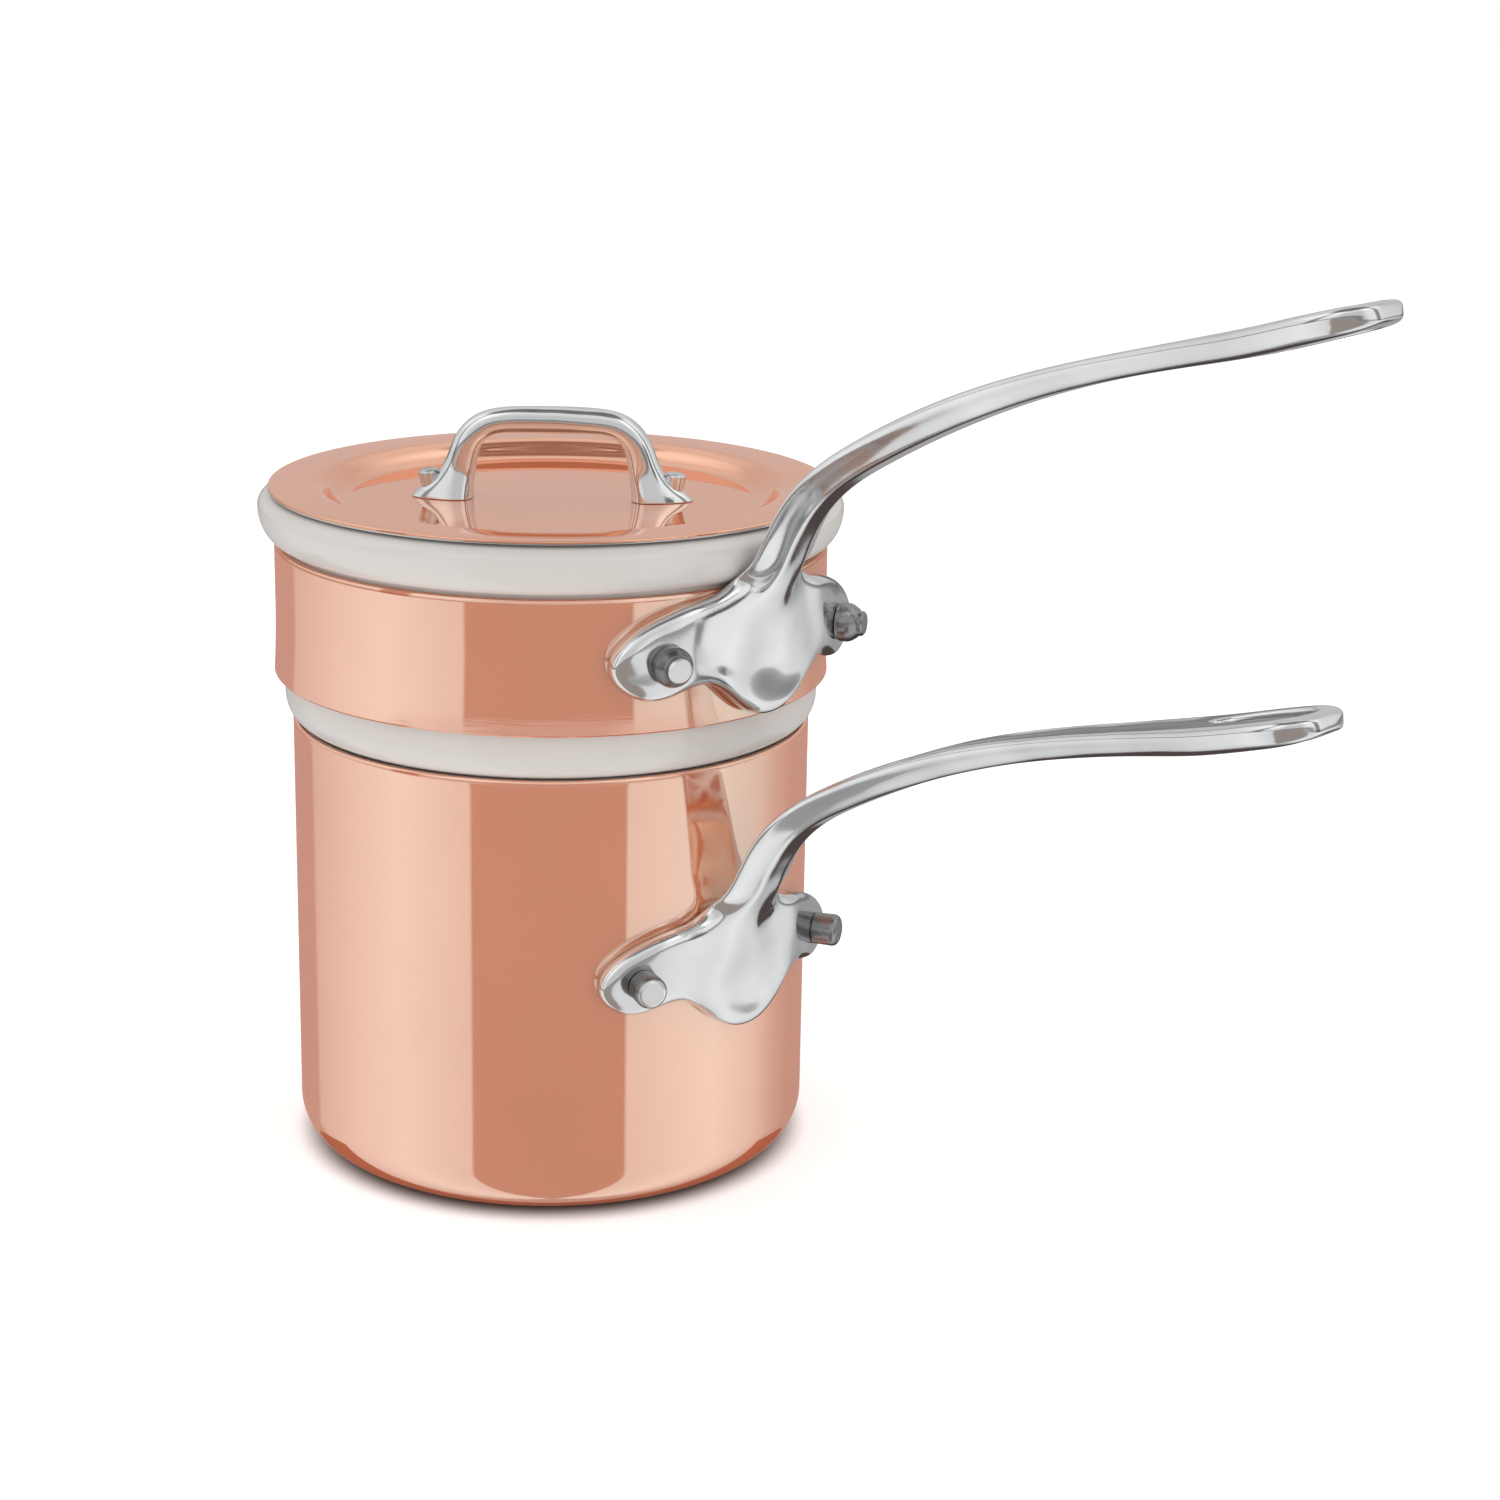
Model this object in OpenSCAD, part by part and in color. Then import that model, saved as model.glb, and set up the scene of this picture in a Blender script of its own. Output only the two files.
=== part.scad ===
// Double boiler: a copper pot for the water, a porcelain insert held in a
// copper band, and a copper lid. Both long handles are the same casting.
// Origin at the centre of the pot's base, +Z up, lower handle along +X.

/* [Pot] */
// Outside diameter of the pot
pot_d = 120; // [100:1:160]
// Height of the pot, base to rim
pot_h = 103; // [85:1:150]
// Outside radius between base and wall
pot_corner_r = 10; // [5:0.5:20]
// Thickness of the copper sheet
copper_t = 1.2; // [0.8:0.1:2.5]
// Thickness of the steel lining bonded to the copper
lining_t = 0.25; // [0.15:0.05:0.6]
// Height of the pot handle's rivets above the base
pot_rivet_z = 57; // [45:1:65]

/* [Insert] */
// Wall of the porcelain insert
insert_wall = 4.2; // [3:0.1:6]
// How far the insert hangs below the pot's rim
insert_depth = 61; // [40:1:75]
// Water gap between the insert's body and the pot's lining
water_gap = 3.2; // [2.5:0.1:6]
// Height of the rounded shoulder that seats on the pot's rim
shoulder_h = 6; // [4:0.25:9]
// Draft of the insert's body, narrower at the bottom
insert_draft = 1; // [0:0.25:3]
// Outside radius at the bottom of the insert
insert_corner_r = 9; // [5:0.5:14]
// How far the rim bulges out past the band's inside
rim_bulge = 5.4; // [3:0.1:8]
// Height of the rim's underside curve
rim_under_h = 7.8; // [5:0.1:12]
// Height of the rim's crown above its widest point
rim_crown_h = 3.3; // [2:0.1:6]
// Rounding at the mouth of the insert
mouth_round = 2.2; // [1:0.1:3]

/* [Band] */
// Step out from the pot's wall to the band's outside
band_step = 3.5; // [3:0.1:8]
// Height of the copper band
band_h = 30; // [28:0.5:40]
// Thickness of the band
band_t = 1.5; // [1:0.1:2.5]
// Porcelain showing between the pot's rim and the band
shoulder_show = 11; // [8:0.5:20]
// Flare at the band's lower edge
band_flare = 0.5; // [0:0.1:1]
// Height of the band's rivets above its lower edge
band_rivet_h = 16.3; // [15:0.1:18]
// Depth of the groove that clears the inner rivet heads
groove_depth = 1.5; // [1.3:0.1:2]

/* [Lid] */
// Radial set-back of the lid's edge from the rim
lid_setback = 2.5; // [0.5:0.1:4]
// Thickness of the lid's copper
lid_copper_t = 0.6; // [0.5:0.1:1.5]
// Depth of the sunken disc
recess_depth = 4.1; // [3:0.1:6]
// Width of the curved step down to the disc
recess_run = 8.5; // [7:0.1:11]
// Radial play between the step and the insert's mouth
lid_play = 2.3; // [1:0.1:4]

/* [Lid handle] */
// Length of the loop over both feet
loop_span = 65; // [55:0.5:75]
// Height of the loop above the disc
loop_h = 21; // [18:0.2:30]
// Clear width between the legs at the disc
loop_clear = 36; // [30:0.5:42]
// Height of the bar's section
bar_t = 5.8; // [4:0.1:7]
// Width of the bar's section
bar_w = 7; // [5:0.1:9]
// Width of the foot
foot_w = 8.6; // [7.6:0.1:12]
// Turn of the loop against the handles
loop_turn = 43; // [0:1:90]

/* [Cast handles] */
// Length of the handle from the wall to its far end
handle_reach = 152.2; // [130:0.2:190]
// Height of the far end above the rivets
handle_rise = 86; // [70:0.2:100]
// Width of the strap at its waist
waist_w = 14.5; // [12:0.25:20]
// Width of the strap round the hanging eye
eye_end_w = 22; // [19:0.25:28]
// Thickness of the strap
strap_t = 5; // [4:0.1:6.5]
// Length of the hanging eye
eye_len = 22; // [18:0.5:34]
// Width of the hanging eye
eye_w = 11; // [8:0.25:13]
// Metal between the hanging eye and the far end
eye_margin = 3.5; // [3:0.25:8]
// Thickness of the bracket on the wall
bracket_t = 5.7; // [4.5:0.1:6.5]
// Metal between a rivet's axis and the end of a lower ear
lower_ear_end = 8.8; // [8:0.2:12]
// Metal between a rivet's axis and the end of an upper ear
upper_ear_end = 11.6; // [9:0.2:14]
// Height of the lower bracket's top edge above the rivets
lower_top_h = 12.8; // [12:0.2:15]
// Height of the upper bracket's top edge over the band's top edge
upper_top_over = 0.5; // [-2:0.1:0.8]
// Depth of the lower ears below the rivets
lower_ear_drop = 8.2; // [7:0.1:9.5]
// Depth of the upper ears below the rivets
upper_ear_drop = 9; // [7:0.1:9.5]
// Drop of the bracket's middle lobe below the rivets
lobe_drop = 15.7; // [12:0.1:16]
// Turn of the upper handle against the lower one
upper_turn = 1.9; // [0:0.1:10]
// Upward tilt of the upper strap against the lower one
upper_tilt = 0.85; // [0:0.05:2]

/* [Rivets] */
// Distance between a bracket's rivets, round the wall
rivet_pitch = 55.2; // [46:0.1:60]
// Diameter of a handle rivet's shank
shank_d = 6; // [4:0.1:7]
// Diameter of the upper outer heads
upper_head_d = 8.8; // [8:0.1:11]
// Height of the upper outer heads
upper_head_h = 6; // [4:0.1:7]
// Diameter of the lower outer heads
lower_head_d = 7.4; // [7.2:0.1:10]
// Height of the lower outer heads
lower_head_h = 5.7; // [3:0.1:8]
// Diameter of the flat inner heads
inner_head_d = 10.5; // [8.5:0.1:12]
// Thickness of the flat inner heads
inner_head_t = 1.2; // [0.8:0.05:1.2]
// Diameter of a lid rivet's shank
lid_shank_d = 3.2; // [2.4:0.1:3.8]
// Diameter of a lid rivet's outer head
lid_head_d = 4.9; // [4.4:0.1:6]
// Height of the lid's outer rivet heads
lid_head_h = 3.7; // [2:0.1:6]
// Outward lean of the lid's outer rivet heads
lid_head_lean = 9; // [0:1:12]

/* [Fits] */
// Gap between pieces that lift apart
seat_gap = 0.3; // [0.2:0.05:0.6]
// Gap between the band and the porcelain it holds
band_fit = 0.3; // [0.1:0.05:0.6]
// Radial gap between a shank and its hole
rivet_fit = 0.05; // [0.02:0.01:0.1]
// Gap between bonded sheets and under riveted pieces
bond_gap = 0.05; // [0.02:0.01:0.1]

/* [Hidden] */
$fn = 96;
cut_over = 1;

copper = [0.83, 0.53, 0.40];
steel = [0.72, 0.73, 0.74];
cast_steel = [0.66, 0.67, 0.68];
porcelain = [0.92, 0.90, 0.87];

// Pot
pot_r = pot_d / 2;
pot_in_r = pot_r - copper_t - bond_gap - lining_t;

// Band, stacked on the pot's rim
band_r = pot_r + band_step;
band_in_r = band_r - band_t;
band_z = pot_h + shoulder_show;
band_top_z = band_z + band_h;
band_rivet_z = band_z + band_rivet_h;
flare_h = 6;
edge_break = 0.3;
upper_top_h = band_h - band_rivet_h + upper_top_over;

// Insert
land_r = band_in_r - band_fit;
groove_r = land_r - groove_depth;
groove_margin = 1;
groove_h = inner_head_d + 2 * groove_margin;
shoulder_start = 1.4;
shoulder_w = land_r - (pot_in_r - shoulder_start);
shoulder_z = pot_h + seat_gap + shoulder_h * sqrt(1 - pow((pot_in_r - land_r + shoulder_w) / shoulder_w, 2));
body_r = pot_in_r - water_gap;
insert_z = pot_h - insert_depth;
rim_r = land_r + rim_bulge;
rim_gap = 0.8;
rim_z = band_top_z + rim_gap + rim_under_h;
crown_z = rim_z + rim_crown_h;
mouth_r = land_r - insert_wall;
body_top_drop = 4;
inner_top_drop = 6;
inner_shoulder_r = 6;

// Lid
lid_r = rim_r - lid_setback;
lid_t = lid_copper_t + bond_gap + lining_t;
lid_top_z = crown_z + seat_gap + lid_t;
disc_z = lid_top_z - recess_depth;
step_r = mouth_r - lid_play;
disc_r = step_r - recess_run;
step_angle = 2 * atan(recess_depth / recess_run);
step_arc_r = recess_run / (2 * sin(step_angle));

// Lid handle
leg_r = loop_clear / 2;
corner_in_r = 3.6;
foot_rise = 9;
lid_rivet_inset = 4.6;
lid_rivet_x = loop_span / 2 - lid_rivet_inset;
foot_seat = 2.8;
lid_inner_rim = 1.8;
lid_inner_t = 1;

// Cast handle
ear_mid = -0.8;
armpit_s = 18;
armpit_run = 13;
armpit_drop = 5.8;
lobe_fullness = 1.35;
neck_s = 8.5;
neck_fillet_s = 14;
neck_fillet_h = 1.6;
edge_round = 3.4;
back_slope = 2;
head_chamfer = 0.5;
spot_play = 0.15;

// Points on an arc, from angle a0 to angle a1
function arc(x, y, rx, ry, a0, a1, n) =
    [for (i = [0 : n]) let (a = a0 + (a1 - a0) * i / n) [x + rx * cos(a), y + ry * sin(a)]];
function backwards(list) = [for (i = [len(list) - 1 : -1 : 0]) list[i]];
// Smooth step from 0 to 1
function ease(t) = (1 - cos(180 * max(0, min(1, t)))) / 2;
function row(list, i) = list[max(0, min(len(list) - 1, i))];
// Smooth curve through all columns of a table at once
function between(a, b, c, d, t) =
    0.5 * (2 * b + (c - a) * t + (2 * a - 5 * b + 4 * c - d) * t * t + (3 * b - a - 3 * c + d) * t * t * t);
function along(list, t) =
    let (i = min(floor(t), len(list) - 2))
    between(row(list, i - 1), row(list, i), row(list, i + 1), row(list, i + 2), t - i);

// A closed solid over rings of equal length, each turning clockwise as seen from the ring after it
module skin(rings) {
    n = len(rings[0]);
    last = (len(rings) - 1) * n;
    sides = [for (i = [0 : len(rings) - 2], j = [0 : n - 1])
        let (a = i * n + j, b = i * n + (j + 1) % n)
        each [[a, b, a + n], [b, b + n, a + n]]];
    start_cap = [for (j = [n - 1 : -1 : 0]) j];
    end_cap = [for (j = [0 : n - 1]) last + j];
    polyhedron([for (ring = rings) each ring], concat([start_cap, end_cap], sides));
}

// Outside of the pot, moved in by a sheet's depth
function pot_line(inset) = concat(
    [[0, inset]],
    arc(pot_r - pot_corner_r, pot_corner_r, pot_corner_r - inset, pot_corner_r - inset, -90, 0, 12),
    [[pot_r - inset, pot_h]]);

module pot_sheet(outer, inner) {
    rotate_extrude()
        polygon(concat(pot_line(outer), backwards(pot_line(inner))));
}

// A radial hole or pin through a wall, at a rivet of a bracket
function rivet_angle(wall_r) = (rivet_pitch / 2) / (wall_r + bracket_t / 2) * 180 / PI;

module at_rivet(wall_r, side) {
    rotate([0, 0, side * rivet_angle(wall_r)])
        rotate([0, 90, 0])
            children();
}

module rivet_holes(wall_r, z) {
    for (side = [-1, 1])
        translate([0, 0, z])
            at_rivet(wall_r, side)
                translate([0, 0, wall_r / 2])
                    cylinder(r = shank_d / 2 + rivet_fit, h = wall_r);
}

module lower_pot() {
    color(copper)
        difference() {
            pot_sheet(0, copper_t);
            rivet_holes(pot_r, pot_rivet_z);
        }
}

module pot_lining() {
    color(steel)
        difference() {
            pot_sheet(copper_t + bond_gap, copper_t + bond_gap + lining_t);
            rivet_holes(pot_r, pot_rivet_z);
        }
}

// Porcelain: body in the pot, shoulder on the rim, groove for the rivet heads, bulging rim
function insert_outside() = concat(
    [[0, insert_z]],
    arc(body_r - insert_draft - insert_corner_r, insert_z + insert_corner_r,
        insert_corner_r, insert_corner_r, -90, 0, 10),
    [[body_r, pot_h - body_top_drop]],
    arc(land_r - shoulder_w, shoulder_z, shoulder_w, shoulder_h, -90, 0, 12),
    [[land_r, band_rivet_z - groove_h / 2],
     [groove_r, band_rivet_z - groove_h / 2 + groove_depth / 2],
     [groove_r, band_rivet_z + groove_h / 2 - groove_depth / 2],
     [land_r, band_rivet_z + groove_h / 2]],
    arc(land_r, rim_z, rim_bulge, rim_under_h, -90, 0, 14),
    arc(land_r, rim_z, rim_bulge, rim_crown_h, 6, 90, 12));

function insert_inside() = concat(
    arc(mouth_r + mouth_round, crown_z - mouth_round, mouth_round, mouth_round, 90, 180, 6),
    arc(mouth_r - inner_shoulder_r, shoulder_z + insert_wall, inner_shoulder_r, shoulder_h, 0, -60, 6),
    [[body_r - insert_wall, pot_h - inner_top_drop]],
    arc(body_r - insert_draft - insert_corner_r, insert_z + insert_corner_r,
        insert_corner_r - insert_wall, insert_corner_r - insert_wall, 0, -90, 8),
    [[0, insert_z + insert_wall]]);

module porcelain_insert() {
    color(porcelain)
        rotate_extrude()
            polygon(concat(insert_outside(), insert_inside()));
}

// Copper band round the porcelain, with its lower edge flared a little
module handle_band() {
    color(copper)
        rotate([0, 0, upper_turn])
            difference() {
                rotate_extrude()
                    polygon([
                        [band_in_r + band_flare, band_z],
                        [band_r + band_flare, band_z],
                        [band_r + band_flare * 0.3, band_z + flare_h / 2],
                        [band_r, band_z + flare_h],
                        [band_r, band_top_z - edge_break],
                        [band_r - edge_break, band_top_z],
                        [band_in_r, band_top_z],
                        [band_in_r, band_z + flare_h]]);
                rivet_holes(band_r, band_rivet_z);
            }
}

// Height of the bracket's edges at distance s from its middle, measured round the wall
function close(s, reach, start) = sqrt(max(0, 1 - pow(max(0, abs(s) - start) / (reach - start), 2)));
function neck_fillet(s) =
    neck_fillet_h * pow(max(0, min(1, (neck_fillet_s - abs(s)) / (neck_fillet_s - neck_s))), 2);
function bracket_top(s, reach, top_h) =
    ear_mid + neck_fillet(s) + (top_h - ear_mid) * close(s, reach, 0);
function bracket_bottom(s, reach, ear_drop) =
    abs(s) < armpit_s
    ? -lobe_drop + (lobe_drop - armpit_drop) * ease(pow(abs(s) / armpit_s, lobe_fullness))
    : ear_mid - close(s, reach, rivet_pitch / 2)
        * (armpit_drop + ear_mid + (ear_drop - armpit_drop) * ease((abs(s) - armpit_s) / armpit_run));

// Thickness added beyond the rivets, where the ears' faces run straight on
function ear_flat(wall_r, s) =
    let (a = max(0, abs(s) - rivet_pitch / 2) / (wall_r + bracket_t / 2) * 180 / PI)
    (wall_r + bracket_t) * (1 / cos(a) - 1);

// Section of the bracket at distance s: flat against the wall, rounded outside
function bracket_ring(wall_r, reach, ear_drop, top_h, s) =
    let (a = s / (wall_r + bracket_t / 2) * 180 / PI,
         low = bracket_bottom(s, reach, ear_drop),
         high = bracket_top(s, reach, top_h),
         e = min(edge_round, (high - low) * 0.38),
         slope = min(back_slope, (high - low) * 0.12),
         t = (bracket_t + ear_flat(wall_r, s)) * pow(close(s, reach, rivet_pitch / 2), 0.25),
         profile = [[bond_gap, low + e * 0.1], [t * 0.35, low], [t * 0.68, low + e * 0.14],
                    [t * 0.9, low + e * 0.45], [t * 0.99, low + e],
                    [t, (low + high) / 2],
                    [t * 0.99, high - e], [t * 0.9, high - e * 0.45],
                    [t * 0.74, high - e * 0.14], [t * 0.5, high], [bond_gap, high - slope]])
    [for (p = profile) [(wall_r + p[0]) * cos(a), (wall_r + p[0]) * sin(a), p[1]]];

module bracket(wall_r, ear_end, ear_drop, top_h) {
    half = 26;
    ends = 0.999;
    reach = rivet_pitch / 2 + ear_end;
    stations = [for (i = [-half : half]) reach * ends * sin(90 * i / half)];
    skin([for (s = stations) bracket_ring(wall_r, reach, ear_drop, top_h, s)]);
}

// Strap of the handle: distance from the wall, height above the rivets, width at the top,
// width at the bottom as a share of the top, thickness
neck_w = waist_w + 3.5;
strap_table = [
    [1.6, -3, neck_w - 9, 0.5, 3.2],
    [2.9, 4, neck_w - 6, 0.46, 3.4],
    [5.2, 12, neck_w - 2.5, 0.38, strap_t - 1.2],
    [8.9, 19, neck_w - 1.2, 0.36, strap_t - 1],
    [11.7, 25.4, neck_w - 0.5, 0.36, strap_t - 1],
    [14.2, 29.8, neck_w, 0.37, strap_t - 0.6],
    [17.3, 33.6, neck_w, 0.37, strap_t - 0.3],
    [21.2, 37.4, neck_w, 0.38, strap_t],
    [handle_reach * 0.17, handle_rise * 0.479, neck_w, 0.4, strap_t + 0.3],
    [handle_reach * 0.212, handle_rise * 0.524, neck_w, 0.42, strap_t + 0.6],
    [handle_reach * 0.295, handle_rise * 0.606, neck_w - 1, 0.46, strap_t + 0.8],
    [handle_reach * 0.407, handle_rise * 0.696, waist_w + 0.8, 0.54, strap_t + 0.5],
    [handle_reach * 0.538, handle_rise * 0.778, waist_w, 0.66, strap_t - 0.3],
    [handle_reach * 0.689, handle_rise * 0.848, waist_w + 0.2, 0.78, strap_t - 0.4],
    [handle_reach * 0.79, handle_rise * 0.895, waist_w + 2.6, 0.84, strap_t],
    [handle_reach - 22, handle_rise * 0.92, eye_end_w - 1.8, 0.88, strap_t + 0.4],
    [handle_reach - 12, handle_rise - 3.7, eye_end_w, 0.9, strap_t + 0.1],
    [handle_reach - 6, handle_rise - 1.8, eye_end_w - 1.4, 0.9, strap_t - 0.3],
    [handle_reach - 2.6, handle_rise - 0.8, eye_end_w - 5, 0.9, strap_t - 0.6],
    [handle_reach - 0.7, handle_rise - 0.2, eye_end_w - 10, 0.9, strap_t - 1.3],
    [handle_reach, handle_rise, eye_end_w - 15, 0.9, strap_t - 2.3]];

// One half of the strap's section from top to bottom, in half widths and half thicknesses
function strap_half(k) = [
    [0.74, 1], [0.93, 0.88], [1, 0.56], [k + (1 - k) * 0.62, -0.1], [k, -0.74], [0.76 * k, -1]];

function strap_ring(t) =
    let (at = along(strap_table, t),
         step = 0.02,
         before = along(strap_table, max(0, t - step)),
         after = along(strap_table, min(len(strap_table) - 1, t + step)),
         run = after[0] - before[0],
         rise = after[1] - before[1],
         size = norm([run, rise]),
         right = strap_half(at[3]),
         whole = concat(right, [for (p = backwards(right)) [-p[0], p[1]]]))
    [for (p = whole)
        [at[0] - rise / size * p[1] * at[4] / 2, p[0] * at[2] / 2, at[1] + run / size * p[1] * at[4] / 2]];

module strap() {
    per_row = 3;
    count = (len(strap_table) - 1) * per_row;
    skin([for (i = [0 : count]) strap_ring(i / per_row)]);
}

// Hanging eye, wide at the far end and narrowing towards the pot
module hanging_eye() {
    wide = eye_w / 2;
    narrow = eye_w / 4;
    x1 = handle_reach - eye_margin - wide;
    x0 = handle_reach - eye_margin - eye_len + narrow;
    lean = asin((wide - narrow) / (x1 - x0));
    translate([0, 0, handle_rise / 2])
        linear_extrude(handle_rise)
            polygon(concat(
                arc(x1, 0, wide, wide, -90 - lean, 90 + lean, 24),
                arc(x0, 0, narrow, narrow, 90 + lean, 270 - lean, 16)));
}

// The casting: bracket on a wall of the given radius, neck, strap and hanging eye
module cast_handle(wall_r, z, ear_end, ear_drop, top_h, tilt) {
    translate([0, 0, z])
        difference() {
            union() {
                bracket(wall_r, ear_end, ear_drop, top_h);
                rotate([0, -tilt, 0])
                    translate([wall_r, 0, 0])
                        strap();
            }
            rotate([0, -tilt, 0])
                translate([wall_r, 0, 0])
                    hanging_eye();
            rivet_holes(wall_r, 0);
        }
}

// Outer heads of the rivets, as points of radius and height over the bracket
upper_head = [
    [upper_head_d / 2 - 0.3, 0], [upper_head_d / 2, 0.7], [upper_head_d / 2, upper_head_h * 0.4],
    [upper_head_d / 2 - 0.35, upper_head_h * 0.56], [upper_head_d / 2 - 1.1, upper_head_h * 0.74],
    [upper_head_d / 2 - 1.5, upper_head_h * 0.8], [upper_head_d / 2 - 1.6, upper_head_h - 0.4],
    [upper_head_d / 2 - 2, upper_head_h]];
lower_head = concat(
    [[lower_head_d / 2 - 0.1, 0]],
    arc(lower_head_d / 2 - 1.5, lower_head_h - 1.5, 1.5, 1.5, 0, 75, 5));

// A rivet: flat inner head, shank and tall outer head, along +Z from the wall's axis
module rivet_body(wall_r, in_r, head) {
    inner_r = inner_head_d / 2;
    seat = wall_r + bracket_t + bond_gap;
    inner_seat = sqrt(in_r * in_r - inner_r * inner_r) - bond_gap;
    rotate_extrude()
        polygon(concat(
            [[0, inner_seat - inner_head_t],
             [inner_r - head_chamfer, inner_seat - inner_head_t],
             [inner_r, inner_seat - inner_head_t + head_chamfer],
             [inner_r, inner_seat],
             [shank_d / 2, inner_seat],
             [shank_d / 2, seat]],
            [for (p = head) [p[0], seat + p[1]]],
            [[0, seat + head[len(head) - 1][1]]]));
}

module handle_rivet(wall_r, in_r, z, side, head) {
    translate([0, 0, z])
        at_rivet(wall_r, side)
            rivet_body(wall_r, in_r, head);
}

module lower_handle() {
    color(cast_steel)
        cast_handle(pot_r, pot_rivet_z, lower_ear_end, lower_ear_drop, lower_top_h, 0);
}

module lower_rivet(side) {
    color(steel)
        handle_rivet(pot_r, pot_in_r, pot_rivet_z, side, lower_head);
}

module upper_handle() {
    color(cast_steel)
        rotate([0, 0, upper_turn])
            cast_handle(band_r, band_rivet_z, upper_ear_end, upper_ear_drop, upper_top_h, upper_tilt);
}

module upper_rivet(side) {
    color(steel)
        rotate([0, 0, upper_turn])
            handle_rivet(band_r, band_in_r, band_rivet_z, side, upper_head);
}

// Top of the lid, moved down by a sheet's depth
function lid_line(inset) = concat(
    [[0, disc_z - inset]],
    arc(disc_r, disc_z + step_arc_r, step_arc_r + inset, step_arc_r + inset, -90, -90 + step_angle, 8),
    arc(step_r, lid_top_z - step_arc_r, step_arc_r - inset, step_arc_r - inset, 90 + step_angle, 90, 8));

module lid_sheet(outer, inner, edge) {
    rotate_extrude()
        polygon(concat(
            lid_line(outer),
            [[lid_r - edge, lid_top_z - outer],
             [lid_r, lid_top_z - outer - edge],
             [lid_r, lid_top_z - inner]],
            backwards(lid_line(inner))));
}

module at_lid_rivet(side) {
    rotate([0, 0, loop_turn])
        translate([side * lid_rivet_x, 0, 0])
            children();
}

module lid_holes() {
    for (side = [-1, 1])
        at_lid_rivet(side)
            translate([0, 0, disc_z - loop_h / 2])
                cylinder(r = lid_shank_d / 2 + rivet_fit, h = loop_h);
}

module lid_shell() {
    color(copper)
        difference() {
            lid_sheet(0, lid_copper_t, 0.3);
            lid_holes();
        }
}

module lid_lining() {
    color(steel)
        difference() {
            lid_sheet(lid_copper_t + bond_gap, lid_t, 0.05);
            lid_holes();
        }
}

// Loop of the lid: outer and inner edge of the bar, its width, and how leaf-shaped it is
bar_mid_z = loop_h - bar_t;
top_inset = 1.4;
leg_inset = 1;
foot_flare = 1.9;
corner_out_r = corner_in_r + bar_t;
function foot_row(h) =
    let (g = pow(1 - h / foot_rise, foot_flare),
         inset = leg_inset * pow(h / foot_rise, 0.8))
    [leg_r + bar_t * 0.88 - inset + (loop_span / 2 - leg_r - bar_t * 0.88) * g, h,
     leg_r - inset, h * 0.96,
     bar_w / 2 + (foot_w - bar_w) / 2 * g, 0.4 * g];
function corner_row(a) =
    let (cx = leg_r - top_inset - corner_in_r, cz = bar_mid_z - corner_in_r)
    [cx + corner_out_r * 0.95 * cos(a), cz + corner_out_r * sin(a),
     cx + corner_in_r * cos(a), cz + corner_in_r * sin(a), bar_w / 2, 0];
loop_half = concat(
    [for (h = [0, 0.8, 1.8, 3, 4.6, 6.6, 9]) foot_row(h)],
    [for (a = [0 : 15 : 90]) corner_row(a)],
    [[5, loop_h + 0.1, 5, bar_mid_z, bar_w / 2, 0]]);
loop_rows = concat(
    loop_half,
    [for (r = backwards(loop_half)) [-r[0], r[1], -r[2], r[3], r[4], r[5]]]);

function loop_ring(r) =
    [for (a = [0 : 30 : 330])
        let (c = cos(a), s = sin(a), mx = (r[0] + r[2]) / 2, mz = (r[1] + r[3]) / 2)
        [mx + (r[0] - r[2]) / 2 * c, -s * r[4] * (1 - r[5] * c), mz + (r[1] - r[3]) / 2 * c]];

// An outer head leans with the slope of the foot under it
module at_lid_head(side) {
    at_lid_rivet(side)
        translate([0, 0, disc_z + foot_seat])
            rotate([0, side * lid_head_lean, 0])
                children();
}

module lid_handle() {
    color(cast_steel)
        difference() {
            translate([0, 0, disc_z + bond_gap])
                rotate([0, 0, loop_turn])
                    skin([for (r = loop_rows) loop_ring(r)]);
            lid_holes();
            for (side = [-1, 1])
                at_lid_head(side)
                    cylinder(r = lid_head_d / 2 + spot_play, h = lid_head_h + foot_rise);
        }
}

module lid_rivet(side) {
    r = lid_shank_d / 2;
    head_r = lid_head_d / 2;
    rim = r + lid_inner_rim;
    under = disc_z - lid_t - bond_gap;
    shank_top = disc_z + foot_seat + lid_head_h / 2;
    color(steel) {
        at_lid_rivet(side)
            rotate_extrude()
                polygon([
                    [0, under - lid_inner_t],
                    [rim - head_chamfer, under - lid_inner_t],
                    [rim, under - lid_inner_t + head_chamfer],
                    [rim, under],
                    [r, under],
                    [r, shank_top],
                    [0, shank_top]]);
        at_lid_head(side)
            rotate_extrude()
                polygon(concat(
                    [[0, bond_gap], [head_r * 0.86, bond_gap], [head_r * 0.94, lid_head_h * 0.5]],
                    arc(head_r - 0.8, lid_head_h - 0.8, 0.8, 0.8, 0, 70, 5),
                    [[0, lid_head_h]]));
    }
}

lower_pot();
pot_lining();
lower_handle();
lower_rivet(-1);  // lower_rivet_left
lower_rivet(1);  // lower_rivet_right
porcelain_insert();
handle_band();
upper_handle();
upper_rivet(-1);  // upper_rivet_left
upper_rivet(1);  // upper_rivet_right
lid_shell();
lid_lining();
lid_handle();
lid_rivet(-1);  // lid_rivet_left
lid_rivet(1);  // lid_rivet_right
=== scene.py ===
import math

import bpy
from mathutils import Matrix, Vector


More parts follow.
